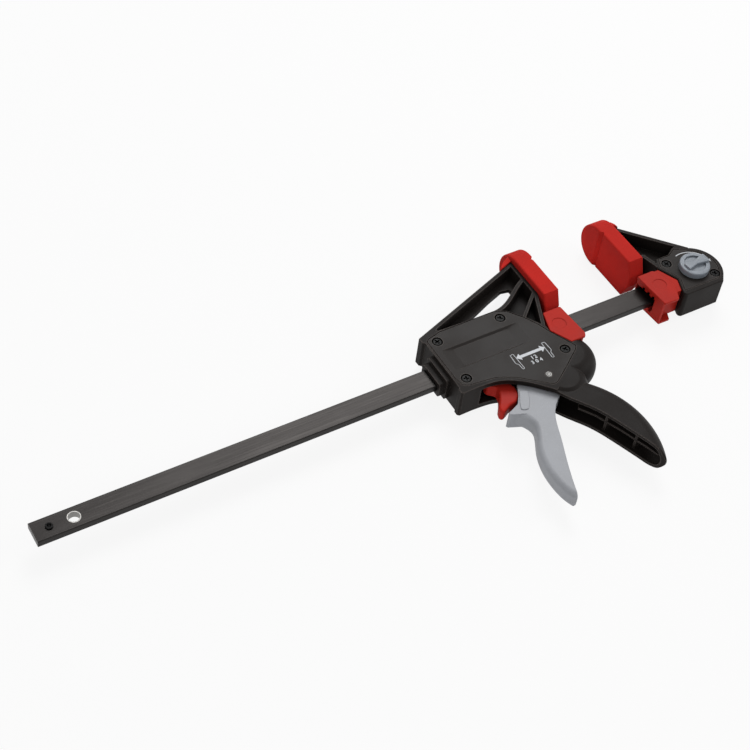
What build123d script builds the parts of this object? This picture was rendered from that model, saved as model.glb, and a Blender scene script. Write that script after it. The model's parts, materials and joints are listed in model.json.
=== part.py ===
from build123d import *
import math
import os

# One-handed quick release bar clamp, in millimetres.
# Origin: centre of the lock hole at the bar's free end, on the bar's middle plane.
# +X runs along the bar to the fixed jaw, +Y to the jaw pads, +Z through the bar's thickness.

# ---- bar ----
bar_length = 494.0
bar_width = 15.0
bar_thickness = 5.0
bar_corner = 0.6
hole_diameter = 7.0
hole_inset = 25.3
jaw_hole_inset = 15.8
stop_pin_diameter = 4.8
stop_pin_bore = 3.0
stop_pin_inset = 10.1
stop_pin_stand = 1.2
stop_pin_chamfer = 0.4

# ---- clearances ----
bar_gap = 0.25
seat_gap = 0.05
pin_gap = 0.06
lid_gap = 0.2
screw_gap = 0.05
hub_gap = 0.1

# ---- moving body ----
body_half = 11.1
floor_thickness = 2.0
lid_thickness = 2.0
lid_ledge = 1.6
lid_chamfer = 0.35
edge_round = 0.8
strut_depth = 2.8
flange_width = 2.6
web_half = 1.5
collar_length = 6.5
collar_half_height = 10.5
collar_half_depth = 5.5
collar_step = 2.3
collar_step_height = 1.5
collar_step_depth = 3.0
collar_round = 1.6
rib_thickness = 2.2
chamber_top = 24.0
chamber_bottom = -11.0

slider_pad_back = 92.2

# ---- handle ----
handle_half = 10.0
handle_round = 9.4
handle_wall = 2.2
handle_back_radius = 63.4
handle_tip_length = 11.5
handle_tip_wall = 2.6
handle_rib = 1.4
rib_setback = 3.2
rib_heights = (-78.0, -98.4)
palm_radius = 20.7
palm_round = 9.5
neck_radius = 16.5
neck_round = 7.0
trigger_slot_half = 7.3
spring_seat_x = 9.0
spring_seat_width = 3.0
front_wall_start = 66.0
front_wall_end = 80.0

# ---- cover plates and their screws ----
panel_left = 6.7
panel_right = 64.7
panel_low = -7.5
panel_high = 10.7
panel_corner = 1.5
panel_depth = 1.3
panel_bevel = 1.5
panel_end_slope = 8.0
screw_head_diameter = 6.4
screw_head_height = 1.7
screw_head_round = 0.8
screw_shank_diameter = 3.0
screw_length = 11.0
recess_diameter = 7.3
recess_depth = 1.9
post_diameter = 7.0
boss_height = 1.6
cross_width = 1.1
cross_length = 3.8
cross_depth = 1.2

# ---- jaw pads ----
pad_half = 16.0
pad_thickness = 12.0
pad_nose_height = 54.8
pad_foot_height = 15.6
pad_foot_half = 4.6
pad_chamfer_height = 20.2
pad_nose_step = 0.9
pad_groove_height = 51.3
pad_groove_depth = 1.3
pad_groove_half = 1.5
pad_edge_round = 1.2
hook_half = 12.5
hook_round = 0.4
jaw_opening = 58.2

# ---- bar guards ----
guard_half = 11.5
guard_flange = 1.7
guard_wall = 1.8
guard_low_inset = 2.0
guard_round = 0.5
guard_mark_radius = 4.8
guard_mark_depth = 0.3
guard_mouth_half_height = 9.2
guard_mouth_half_depth = 5.4
guard_mouth_length = 5.0
guard_teeth = (-7.2, -2.4, 2.4)
guard_tooth_half = 1.2
guard_tooth_reach = 7.4

# ---- trigger ----
trigger_half = 6.5
trigger_wall = 1.6
trigger_round = 3.6
trigger_tip = -121.2
trigger_tip_round = 4.0
trigger_pad_height = 0.5
trigger_fork_gap = 0.3
trigger_pin_diameter = 4.6
trigger_pin_head = 6.8
trigger_pin_head_height = 1.2
pivot_x = 58.7
pivot_y = -36.1

# ---- drive and brake works ----
drive_plate_thickness = 2.6
drive_plate_top = 13.5
drive_plate_bottom = 16.0
drive_plate_half = 8.6
drive_plate_x = 51.9
plate_corner = 1.5
divider_x = 33.2
wire_diameter = 0.8
spring_inner_radius = 7.95
drive_coils = 5
brake_coils = 3
brake_plate_thickness = 3.0
brake_plate_slot = 16.0
brake_plate_top = 13.4
brake_plate_bottom = 21.0
brake_plate_half = 8.4
brake_tilt = 10.5
brake_x = 26.4
brake_fulcrum = 12.0
lever_half = 4.7
lever_round = 1.6
fulcrum_half = 0.8

# ---- fixed jaw and bar lock ----
jaw_radius = 20.3
jaw_pad_back = -29.5
jaw_lid_margin = 3.0
jaw_corner = 2.4
knob_radius = 10.5
knob_top = 15.8
knob_sink = 1.2
knob_rim = 2.9
knob_ceiling = 13.2
knob_lift = 0.3
knob_skirt = 1.6
knob_hub_radius = 6.6
knob_hub_bore = 5.2
knob_hub_bottom = 7.4
knob_grip_height = 1.5
knob_grip_angle = 5.0
knob_edge_round = 0.9
grip_round = 0.6
grip_short_reach = 8.0
grip_long_reach = 10.2
grip_short_half = 3.3
grip_long_half = 3.9
grip_waist_half = 1.7
clip_thickness = 0.9
clip_width = 1.5
clip_split = 3.0
lock_pin_diameter = 6.6
lock_pin_flange = 9.6
lock_pin_flange_base = 2.9
lock_pin_flange_height = 0.8
lock_pin_bottom = -4.6
lock_pin_stem = 0.7
lock_pin_stem_radius = 1.8
lock_pin_chamfer = 0.6
lock_spring_radius = 3.4
lock_wire = 0.6
lock_way_gap = 0.7
sleeve_outer = 10.2
sleeve_gap = 0.1
sleeve_height = 4.0
lock_coils = 3

# ---- derived ----
bar_half = bar_width / 2
bar_flat = bar_thickness / 2
bar_start = -hole_inset
hole_pitch = bar_length - hole_inset - jaw_hole_inset
lid_under = body_half - lid_thickness
floor_top = -(body_half - floor_thickness)
slot_half_y = bar_half + bar_gap
slot_half_z = bar_flat + bar_gap
spring_radius = spring_inner_radius + wire_diameter / 2
slider_x = hole_pitch + jaw_pad_back - jaw_opening - 2 * pad_thickness - slider_pad_back


def straight(*points):
    """A run of straight edges through the points."""
    return Polyline(*points)


def smooth(*points):
    """A smooth curve through the points."""
    return Spline(*points)


def face_of(*runs):
    """The flat face bounded by runs that join end to end."""
    edges = Curve()
    for run in runs:
        edges = edges + run
    return make_face(edges)


def polygon(*corners):
    """A face from (x, y, corner radius) triples."""
    points = [(x, y) for x, y, _ in corners]
    radii = [radius for _, _, radius in corners]
    return make_face(FilletPolyline(*points, radius=radii, close=True))


def slab(face, bottom, top):
    """A flat face raised from one height to another."""
    return extrude(Pos(0, 0, bottom) * face, top - bottom, dir=(0, 0, 1))


def drum(x, y, radius, bottom, top):
    """A round post that stands on a height."""
    return Pos(x, y, (bottom + top) / 2) * Cylinder(radius, top - bottom)


def block(x0, x1, y0, y1, z0, z1):
    """A box between two corners."""
    middle = Pos((x0 + x1) / 2, (y0 + y1) / 2, (z0 + z1) / 2)
    return middle * Box(x1 - x0, y1 - y0, z1 - z0)


def cushion(x, y, radius, half, rounding):
    """A round disc whose rim is a half ellipse, so that its edge rolls into the palm."""
    flat = radius - rounding
    turn = 0.70710678
    top = ThreePointArc(
        (flat, 0, half),
        (flat + rounding * turn, 0, half * turn),
        (radius, 0, 0),
    )
    low = ThreePointArc(
        (radius, 0, 0),
        (flat + rounding * turn, 0, -half * turn),
        (flat, 0, -half),
    )
    ends = Polyline((flat, 0, -half), (0, 0, -half), (0, 0, half), (flat, 0, half))
    return Pos(x, y, 0) * revolve(make_face(top + low + ends), Axis.Z)


def bar_slot(x0, x1):
    """The rectangular way for the bar between two stations."""
    return block(x0, x1, -slot_half_y, slot_half_y, -slot_half_z, slot_half_z)


def rim_edges(body):
    """Edges of the lowest and the highest face of a slab."""
    levels = body.edges().group_by(Axis.Z)
    return levels[0] + levels[-1]


# ---------------------------------------------------------------- bar

def bar():
    """Flat steel bar with a lock hole near each end and a hole for the stop pin."""
    body = block(bar_start, bar_start + bar_length, -bar_half, bar_half, -bar_flat, bar_flat)
    body = fillet(body.edges().filter_by(Axis.X), bar_corner)
    for x in (0, hole_pitch):
        body -= drum(x, 0, hole_diameter / 2, -bar_thickness, bar_thickness)
    stop_x = bar_start + stop_pin_inset
    body -= drum(stop_x, 0, stop_pin_diameter / 2, -bar_thickness, bar_thickness)
    return body


def stop_pin():
    """Hollow pin across the bar that stops the moving body."""
    x = bar_start + stop_pin_inset
    half = bar_flat + stop_pin_stand
    pin = drum(x, 0, stop_pin_diameter / 2, -half, half)
    pin = chamfer(pin.edges().filter_by(GeomType.CIRCLE), stop_pin_chamfer)
    return pin - drum(x, 0, stop_pin_bore / 2, -half - 1, half + 1)


# ---------------------------------------------------------------- moving body

strut_foot = 25.8
strut_slope = 0.3536
strut_tip = 13.4
lid_outline = (
    (2.6, -12.3, 4), (2.6, 20.9, 1.5), (4.2, 22.7, 1), (14.2, 25.2, 3), (57.1, 25.2, 5),
    (64.3, 21.5, 5), (71.6, 12.3, 2), (77.1, 2.3, 3), (80.0, -5.3, 4), (85.2, -15.9, 3),
    (88.9, -23.2, 1.5), (86.6, -25.9, 1), (71.6, -36.4, 2), (60.7, -43.6, 2),
    (57.4, -44.4, 1.5), (49.8, -38.6, 6), (38.9, -29.5, 12), (27.0, -23.6, 15),
    (7.1, -21.4, 3), (3.9, -19.5, 2),
)
lid_screws = ((8.7, 18.6), (57.1, 18.6), (80.7, -22.7), (9.1, -15.9))
palm_centre = (80.2, -25.5)
neck_centre = (67.0, -42.0)
handle_centre = (35.3, -92.3)
handle_foot = -121.9
arch = ((10.7, -25.5), (19.7, -25.9), (26.2, -26.8), (35.2, -30.5), (42.5, -35.5),
        (48.9, -41.4), (56.2, -49.5))
rim = ((56.2, -49.5), (61.6, -58.8), (70.0, -71.2), (78.0, -89.0), (84.7, -107.0),
       (87.3, -114.6))


def strut_edge(x):
    """Height of the jaw's sloping outer edge at a station."""
    return strut_foot + strut_slope * (x + 0.8)


def housing_face():
    """Outline of the box round the works, from the trigger arch to the jaw's root."""
    rest = straight(
        arch[-1], (61.5, -46.4), (72.6, -38.0), (82.0, -31.8), (88.6, -27.0), (90.4, -23.4),
        (87.9, -19.6), (80.4, -5.6), (80.4, 1.0), (78.4, 3.0), (72.2, 12.6), (64.6, 22.0),
        (57.1, 25.6), (40.0, 25.6), (2.0, strut_edge(2.0)), (-0.8, strut_foot), (-0.6, 22.0),
        (0.9, 20.5), (0.9, -20.5), (-0.2, -21.5), (-0.2, -24.5), (1.0, -25.7), arch[0],
    )
    return face_of(smooth(*arch), rest)


def handle_face():
    """Outline of the pistol handle; its back is trimmed by the round cushion."""
    rest = straight(
        rim[-1], (88.2, -119.3), (90.5, handle_foot), (99.0, handle_foot), (108.0, -90.0),
        (108.0, -52.5), (76.0, -40.0), (60.0, -40.0), rim[0],
    )
    return face_of(smooth(*rim), rest)


def rounded_foot(half, length):
    """Everything above the handle's foot, which ends in a half ellipse across its depth."""
    middle = handle_foot + handle_tip_length
    upper = Pos(middle + 100, 0) * Rectangle(200, 2 * half)
    profile = upper + Pos(middle, 0) * Ellipse(length, half)
    return extrude(Plane.YZ * profile, 200, dir=(1, 0, 0))


def handle_shell():
    """Solid outer form of the housing, the palm rest and the handle."""
    housing = slab(housing_face(), -body_half, body_half)
    palm_side = polygon((60, -60, 0), (110, -60, 0), (110, -19.6, 0), (87.9, -19.6, 0),
                        (80.4, -5.6, 0), (60, -5.6, 0))
    palm = cushion(*palm_centre, palm_radius, body_half, palm_round)
    palm = palm & slab(palm_side, -body_half, body_half)
    neck = cushion(*neck_centre, neck_radius, body_half, neck_round)
    neck = neck & slab(polygon((56.2, -49.5, 0), (64, -60, 0), (110, -60, 0), (90, -30, 0),
                               (60, -30, 0)), -body_half, body_half)
    handle = cushion(*handle_centre, handle_back_radius, handle_half, handle_round)
    handle = handle & slab(handle_face(), -handle_half, handle_half)
    handle = handle & rounded_foot(handle_half, handle_tip_length)
    return housing + palm + neck + handle


def handle_hollow():
    """Space inside the handle, open towards the trigger, less its stiffening ribs."""
    half = handle_half - handle_wall
    space = cushion(*handle_centre, handle_back_radius - handle_wall, half, half - 0.4)
    side = polygon((45, -50, 0), (60, -125, 0), (110, -125, 0), (110, -62, 0),
                   (82, -54, 0), (72, -46, 0), (55, -44, 0))
    space = space & slab(side, -half, half)
    space = space & rounded_foot(half, handle_tip_length - handle_tip_wall)
    recessed = [(x + rib_setback, y, 0) for x, y in rim[1:]]
    behind = polygon(*recessed, (120, -120, 0), (120, -58, 0))
    ribs = slab(behind, -handle_rib / 2, handle_rib / 2)
    for y in rib_heights:
        ribs += slab(behind, -half, half) & block(0, 120, y - handle_rib / 2,
                                                   y + handle_rib / 2, -half, half)
    return space - ribs


def jaw_truss():
    """Triangular jaw: flanges of full depth on a thin web, with one open window."""
    back = slider_pad_back
    web = face_of(straight(
        (2.0, 24.0), (2.0, strut_edge(2.0)), (back, strut_edge(back)), (back, 27.0),
        (79.0, -1.0), (62.0, 20.0), (57.0, 24.0), (2.0, 24.0),
    ))
    window = polygon(
        (13.0, 25.6, 0.3), (57.1, 25.6, 4), (66.6, 28.4, 8), (73.4, 32.0, 10), (79.0, 36.6, 2),
        (84.8, 44.4, 1.5), (76.3, 46.0, 5), (70.2, 43.6, 8), (46.7, 33.8, 20),
    )
    truss = slab(web, -web_half, web_half) - slab(window, -body_half, body_half)
    low = strut_tip + 1.2
    outer = face_of(straight(
        (-0.8, strut_foot), (back, strut_edge(back)), (back, strut_edge(back) - strut_depth),
        (low, strut_edge(low) - strut_depth), (strut_tip, 27.4), (low, 25.0), (low, 24.0),
        (1.5, 24.0), (-0.8, strut_foot),
    ))
    strut = smooth((56.0, 24.2), (61.0, 24.9), (67.6, 27.3), (77.0, 33.3), (91.0, 41.6))
    faces = [
        outer,
        trace(strut, flange_width),
        trace(Line((back - flange_width / 2, 26.5), (back - flange_width / 2, 57.0)),
              flange_width),
        trace(Line((90.3, 28.3), (71.0, 11.4)), flange_width - 0.4),
        trace(Line((91.2, 27.6), (79.2, 0.0)), flange_width - 0.2),
    ]
    for face in faces:
        truss += slab(face, -body_half, body_half)
    return truss - block(back, back + 5, 0, 70, -body_half - 1, body_half + 1)


def collar():
    """Stepped sleeve round the bar at the back of the moving body."""
    outer = block(-collar_length, 1.5, -collar_half_height, collar_half_height,
                  -collar_half_depth, collar_half_depth)
    outer = fillet(outer.edges().filter_by(Axis.X), collar_round)
    high = collar_half_height + collar_step_height
    deep = collar_half_depth + collar_step_depth
    step = block(-collar_step, 1.5, -high, high, -deep, deep)
    step = fillet(step.edges().filter_by(Axis.X), collar_round)
    return outer + step


def trigger_pocket():
    """Clearance between the side walls for the trigger's head and the release lever."""
    half = trigger_slot_half
    return slab(polygon(
        (15.0, -20.0, 0), (46.0, -20.0, 0), (66.0, -25.0, 0), (70.5, -33.0, 0),
        (70.5, -43.0, 0), (74.0, -50.0, 0), (66.0, -62.0, 0), (58.0, -66.0, 0),
        (40.0, -52.0, 0), (15.0, -34.0, 0),
    ), -half, half)


def screw_well(x, y):
    """Room above a screw post for the cover's boss, and the pilot hole below it."""
    pilot = drum(x, y, screw_shank_diameter / 2 + screw_gap,
                 lid_under - screw_length - 0.5, body_half)
    return pilot + drum(x, y, post_diameter / 2 + lid_gap, lid_under - boss_height, body_half)


def slider_body():
    """Main moulding: housing, collar, handle and jaw truss in one piece."""
    lid_face = polygon(*lid_outline)
    body = handle_shell() + jaw_truss() + collar()
    body -= slab(offset(lid_face, -lid_ledge), floor_top, lid_under + 0.01)
    body -= slab(offset(lid_face, lid_gap), lid_under, body_half + 1)
    body -= handle_hollow()
    body -= trigger_pocket()
    for x, width in ((spring_seat_x, spring_seat_width), (divider_x, rib_thickness)):
        body += block(x, x + width, chamber_bottom, chamber_top, floor_top - 0.5, lid_under)
    fulcrum_x = brake_x + brake_plate_thickness / 2 + 0.3
    body += block(fulcrum_x, divider_x + 0.5, -brake_fulcrum - fulcrum_half,
                  -brake_fulcrum + fulcrum_half, floor_top - 0.5, lid_under)
    front_wall = block(front_wall_start, front_wall_end, chamber_bottom, -chamber_bottom,
                       floor_top - 0.5, lid_under)
    body += front_wall & slab(offset(lid_face, -0.5), -body_half, body_half)
    for x, y in lid_screws:
        body += drum(x, y, post_diameter / 2, floor_top - 0.5, lid_under - boss_height)
        body -= screw_well(x, y)
    body -= bar_slot(-collar_length - 1, slider_pad_back + 10)
    body -= drum(pivot_x, pivot_y, trigger_pin_diameter / 2 + screw_gap, -body_half - 1, 0)
    body -= drum(pivot_x, pivot_y, trigger_pin_head / 2 + screw_gap, -body_half - 1,
                 -body_half + trigger_pin_head_height)
    return body


def lid_plate(face, screws):
    """Flush cover plate with sunk screw seats and bosses that reach down to the posts."""
    lid = slab(face, lid_under, body_half)
    lid = chamfer(lid.edges().group_by(Axis.Z)[-1], lid_chamfer)
    for x, y in screws:
        lid += drum(x, y, post_diameter / 2, lid_under - boss_height, lid_under + 0.5)
        lid -= drum(x, y, recess_diameter / 2, body_half - recess_depth, body_half + 1)
        lid -= drum(x, y, screw_shank_diameter / 2 + screw_gap, 0, body_half)
    return lid


def label_panel():
    """Bare sunk panel of the cover plate, with long slopes at its two ends."""
    middle = (panel_left + panel_right) / 2, (panel_low + panel_high) / 2
    length = panel_right - panel_left
    height = panel_high - panel_low
    rim_face = RectangleRounded(length, height, panel_corner)
    floor_face = RectangleRounded(length - 2 * panel_end_slope, height - 2 * panel_bevel,
                                  panel_corner)
    return Pos(*middle, 0) * loft([
        Pos(0, 0, body_half - panel_depth) * floor_face,
        Pos(0, 0, body_half + 0.01) * rim_face,
    ])


def slider_lid():
    """Cover plate of the moving body with its sunk, bare label panel."""
    lid = lid_plate(polygon(*lid_outline), lid_screws)
    lid -= label_panel()
    lid -= drum(pivot_x, pivot_y, trigger_pin_diameter / 2 + screw_gap, 0, body_half + 1)
    return lid


def cross_screw(x, y, turn):
    """Pan head screw with a cross recess, seated at the bottom of a cover's screw seat."""
    seat = body_half - recess_depth
    top = seat + screw_head_height
    head = drum(0, 0, screw_head_diameter / 2, seat, top)
    head = fillet(head.edges().group_by(Axis.Z)[-1], screw_head_round)
    head += drum(0, 0, screw_shank_diameter / 2, lid_under - screw_length, seat + 0.1)
    for angle in (turn, turn + 90):
        head -= Rot(0, 0, angle) * block(-cross_length / 2, cross_length / 2, -cross_width / 2,
                                         cross_width / 2, top - cross_depth, top + 1)
    return Pos(x, y, 0) * head


def group(shapes):
    """Several like solids kept as one node."""
    return Compound(children=list(shapes))


# ---------------------------------------------------------------- pads and guards

def pad_slab(low, high, depth):
    """Part of the pad between two heights, its outer edges rounded."""
    side = face_of(
        straight((pad_foot_height, -pad_foot_half), (pad_foot_height, pad_foot_half)),
        straight((pad_foot_height, pad_foot_half), (pad_chamfer_height, pad_half)),
        straight((pad_chamfer_height, pad_half), (pad_nose_height, pad_half)),
        ThreePointArc((pad_nose_height, pad_half), (pad_nose_height + pad_half, 0),
                      (pad_nose_height, -pad_half)),
        straight((pad_nose_height, -pad_half), (pad_chamfer_height, -pad_half)),
        straight((pad_chamfer_height, -pad_half), (pad_foot_height, -pad_foot_half)),
    )
    window = Pos((low + high) / 2, 0, 0) * Rectangle(high - low, 3 * pad_half)
    body = extrude(Plane.YZ * (side & window), depth, dir=(1, 0, 0))
    joint = pad_groove_height
    outside = [edge for edge in body.edges()
               if abs(edge.tangent_at(0.5).X) < 0.5 and abs(edge.center().Y - joint) > 0.01]
    return fillet(outside, pad_edge_round)


def jaw_pad(wrap):
    """Jaw pad that faces +X from its back at x = 0, with a grooved and rounded nose."""
    pad = pad_slab(0, pad_groove_height, pad_thickness)
    pad += pad_slab(pad_groove_height, 100, pad_thickness + pad_nose_step)
    notch = face_of(straight(
        (pad_thickness - pad_groove_depth, pad_groove_height),
        (pad_thickness + 2, pad_groove_height - pad_groove_half * 2.5),
        (pad_thickness + 2, pad_groove_height + pad_groove_half * 2.5),
        (pad_thickness - pad_groove_depth, pad_groove_height),
    ))
    pad -= slab(notch, -pad_half - 1, pad_half + 1)
    hook = slab(wrap, -hook_half, hook_half)
    return pad + fillet(rim_edges(hook), hook_round)


def moving_pad():
    """Pad of the moving jaw, with its lip over the end of the strut."""
    back = slider_pad_back
    wrap = face_of(straight(
        (-11.0, strut_edge(back - 11.0)), (-8.6, 57.8), (-4.4, 60.9), (0.5, 63.2),
        (0.5, strut_edge(back + 0.5)), (-11.0, strut_edge(back - 11.0)),
    ))
    return Pos(back, 0, 0) * jaw_pad(wrap)


def fixed_pad():
    """Pad of the fixed jaw, the same piece turned round, with a short lip."""
    wrap = face_of(straight(
        (-4.4, 54.8), (-4.2, 57.6), (-2.6, 60.6), (0.5, 62.6), (0.5, 60.0), (-4.4, 54.8),
    ))
    return Pos(jaw_pad_back, 0, 0) * mirror(jaw_pad(wrap), Plane.YZ)


def bar_guard(outline, wall, core, mark, mouth):
    """Guard round the bar: a block and a thin wall between two flanges, with a toothed mouth."""
    inner = guard_half - guard_flange
    plate = polygon(*outline)
    top = slab(plate, inner, guard_half)
    top = fillet(top.edges().group_by(Axis.Z)[-1], guard_round)
    low = slab(offset(plate, -guard_low_inset), -guard_half, -inner)
    guard = top + low
    for face in (polygon(*wall), polygon(*core)):
        guard += slab(face, -inner - 0.2, inner + 0.2)
    guard -= bar_slot(-100, 200)
    guard -= block(*mouth, -guard_mouth_half_height, guard_mouth_half_height,
                   -guard_mouth_half_depth, guard_mouth_half_depth)
    for y in guard_teeth:
        guard -= block(*mouth, y - guard_tooth_half, y + guard_tooth_half,
                       -guard_tooth_reach, guard_tooth_reach)
    return guard - drum(*mark, guard_mark_radius, guard_half - guard_mark_depth, guard_half + 1)


def moving_guard():
    """Bar guard at the front of the moving body, its mouth towards the fixed jaw."""
    outline = (
        (85.3, 9.9, 1), (99.0, 9.9, 1), (100.8, -16.7, 1.5), (99.3, -19.4, 1.5),
        (88.3, -19.4, 1), (80.7, -5.3, 2),
    )
    wall = (
        (98.6 - guard_wall, 9.7, 0), (98.6, 9.7, 0), (100.2, -17.0, 0),
        (100.2 - guard_wall, -17.0, 0),
    )
    core = (
        (85.3, 9.7, 0), (97.0, 9.7, 0), (98.4, -12.6, 0), (84.6, -12.6, 0), (80.7, -5.3, 0),
    )
    mouth = (98.0 - guard_mouth_length, 105.0)
    return bar_guard(outline, wall, core, (89.7, -2.6), mouth)


def fixed_guard():
    """Bar guard of the fixed jaw, its mouth towards the moving body."""
    outline = (
        (-40.7, 10.0, 1), (-28.2, 10.0, 1.5), (-26.6, 8.6, 1), (-21.9, -8.0, 2),
        (-26.9, -19.2, 1.5), (-38.8, -19.0, 1), (-40.3, 0.0, 4),
    )
    wall = (
        (-39.9 + guard_wall, 9.8, 0), (-39.9, 9.8, 0), (-39.5, 0.0, 4), (-38.0, -17.2, 0),
        (-38.0 + guard_wall, -17.2, 0),
    )
    core = (
        (-38.4, 9.8, 0), (-22.9, 9.8, 0), (-16.5, -3.6, 0), (-19.8, -12.6, 0),
        (-37.2, -12.6, 0), (-38.0, 0.0, 3),
    )
    mouth = (-45.0, guard_mouth_length - 39.0)
    return bar_guard(outline, wall, core, (-31.2, -2.6), mouth)


# ---------------------------------------------------------------- trigger

trigger_front = ((25.2, -52.1), (29.0, -57.0), (30.6, -62.5), (28.4, -69.0), (23.4, -78.0),
                 (20.0, -87.0), (18.3, -96.5), (18.2, -106.0), (19.3, -114.0), (21.6, -120.4))
trigger_back = ((25.0, -115.6), (31.8, -97.3), (40.1, -77.3), (45.2, -65.0), (49.5, -58.5),
                (57.9, -51.1))


trigger_pad = ((36.2, -37.0, 1), (41.6, -38.4, 1.5), (38.4, -45.6, 3), (33.8, -51.8, 1.5),
               (28.8, -50.4, 1.5), (31.2, -45.6, 3))


def trigger_form():
    """Everything above the trigger's tip, with its two lower corners rounded."""
    form = block(0, 90, trigger_tip, 0, -trigger_half, trigger_half)
    low = form.edges().filter_by(Axis.X).group_by(Axis.Y)[0]
    return fillet(low, trigger_tip_round)


def trigger():
    """Curved trigger, open at the back, with a head that reaches up to the drive plates."""
    head = straight(
        trigger_back[-1], (62.6, -46.0), (66.0, -39.0), (66.2, -32.0), (62.6, -16.5),
        (62.2, -12.4), (60.6, -11.4), (58.6, -11.6), (57.4, -13.6), (57.4, -17.4),
        (52.0, -20.8), (44.0, -25.4), (38.2, -31.6), (34.0, -39.5), (29.7, -45.2),
        (20.4, -49.0), (21.0, -50.4), trigger_front[0],
    )
    tip = straight(trigger_front[-1], (23.4, trigger_tip), trigger_back[0])
    face = face_of(head, smooth(*trigger_front), tip, smooth(*trigger_back))
    body = slab(face, -trigger_half, trigger_half)
    fingers = [edge for edge in body.edges()
               if abs(abs(edge.center().Z) - trigger_half) < 0.01
               and edge.center().X < 27 and edge.length > 30]
    body = fillet(fingers, trigger_round)
    body = body & trigger_form()
    inside = trigger_half - trigger_wall
    hollow = polygon(
        (28.6, -112.0, 1), (21.6, -112.0, 2), (20.8, -100.0, 20), (24.2, -85.0, 20),
        (33.0, -68.0, 8), (33.6, -59.0, 4), (38.0, -55.0, 2), (52.0, -52.0, 1),
        (60.0, -54.0, 0), (52.0, -64.0, 0),
    )
    body -= slab(hollow, -inside, inside)
    fork = inside + trigger_fork_gap
    body -= block(15.0, 43.4, -43.8, -24.0, -fork, fork)
    for low in (trigger_half - 0.1, -trigger_half - trigger_pad_height):
        body += slab(polygon(*trigger_pad), low, low + trigger_pad_height + 0.1)
    return body - drum(pivot_x, pivot_y, trigger_pin_diameter / 2 + pin_gap,
                       -body_half, body_half)


def trigger_pin():
    """Headed pivot pin of the trigger, its plain end flush in the cover plate."""
    pin = drum(pivot_x, pivot_y, trigger_pin_diameter / 2, -body_half + 0.2, body_half + 0.2)
    pin = chamfer(pin.edges().group_by(Axis.Z)[-1], 0.3)
    return pin + drum(pivot_x, pivot_y, trigger_pin_head / 2, -body_half,
                      -body_half + trigger_pin_head_height)


# ---------------------------------------------------------------- drive and brake works

def drive_plate(x):
    """Hardened plate round the bar that grips it when pushed from below."""
    plate = block(x, x + drive_plate_thickness - 2 * seat_gap, -drive_plate_bottom, drive_plate_top,
                  -drive_plate_half, drive_plate_half)
    plate = fillet(plate.edges().filter_by(Axis.X), plate_corner)
    return plate - bar_slot(x - 1, x + drive_plate_thickness + 1)


def bar_spring(x0, x1, coils):
    """Round wire coil that sits round the bar between two stations."""
    height = x1 - x0 - wire_diameter
    path = Helix(pitch=height / coils, height=height, radius=spring_radius)
    wire = Plane(path @ 0, z_dir=path % 0) * Circle(wire_diameter / 2)
    coil = sweep(wire, path=path)
    return Pos(x0 + wire_diameter / 2, 0, 0) * Rot(0, 90, 0) * coil


def drive_spring():
    """Return spring of the drive plates and the trigger."""
    start = divider_x + rib_thickness + seat_gap
    return bar_spring(start, drive_plate_x - seat_gap, drive_coils)


def brake_spring():
    """Spring that leans the brake plate over."""
    start = spring_seat_x + spring_seat_width + seat_gap
    return bar_spring(start, brake_x - brake_plate_thickness / 2 - 0.1, brake_coils)


def brake_pose(shape):
    """Leans a piece of the brake about its fulcrum."""
    return Pos(brake_x, -brake_fulcrum, 0) * Rot(0, 0, -brake_tilt) * shape


def brake_plate():
    """Hardened plate that jams on the bar until the release lever squares it up."""
    half = brake_plate_thickness / 2
    plate = block(-half, half, brake_fulcrum - brake_plate_bottom,
                  brake_fulcrum + brake_plate_top, -brake_plate_half, brake_plate_half)
    plate = fillet(plate.edges().filter_by(Axis.X), plate_corner)
    middle = brake_fulcrum / math.cos(math.radians(brake_tilt))
    plate -= block(-half - 1, half + 1, middle - brake_plate_slot / 2,
                   middle + brake_plate_slot / 2, -slot_half_z, slot_half_z)
    return brake_pose(plate)


def release_lever():
    """Finger lever moulded on the foot of the brake plate."""
    face = polygon(
        (21.4, -18.6, 1.8), (21.4, -23.2, 1.8), (26.0, -27.4, 2), (24.6, -32.5, 3),
        (22.0, -36.5, 3), (19.0, -40.4, 2.5), (18.0, -43.6, 2), (19.4, -45.8, 1.8),
        (22.6, -44.4, 2), (26.0, -42.6, 3), (31.6, -42.0, 3), (36.4, -38.0, 3),
        (37.4, -31.0, 3), (33.0, -18.6, 1.8),
    )
    body = slab(face, -lever_half, lever_half)
    body = fillet(rim_edges(body), lever_round)
    half = brake_plate_thickness / 2
    socket = block(-half, half, brake_fulcrum - brake_plate_bottom, 10,
                   -brake_plate_half, brake_plate_half)
    return body - brake_pose(socket)


# ---------------------------------------------------------------- fixed jaw

jaw_centre = (0.3, -0.5)
jaw_screws = ((-14.6, 11.5), (10.9, -10.0))


def on_jaw(radius, degrees):
    """Point on a circle about the jaw's round end."""
    turn = math.radians(degrees)
    return (jaw_centre[0] + radius * math.cos(turn), jaw_centre[1] + radius * math.sin(turn))


def jaw_lid_face():
    """Outline of the fixed jaw's cover plate."""
    radius = jaw_radius - jaw_lid_margin
    start = on_jaw(radius, -43.0)
    finish = on_jaw(radius, 63.0)
    return face_of(
        straight(finish, (4.6, 18.3), (-1.6, 20.8), (-7.7, 17.4), (-17.3, 17.4), (-20.3, 10.4),
                 (-14.2, -4.0), (-18.2, -14.2), (11.8, -14.6), start),
        ThreePointArc(start, on_jaw(radius, 10.0), finish),
    )


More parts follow.
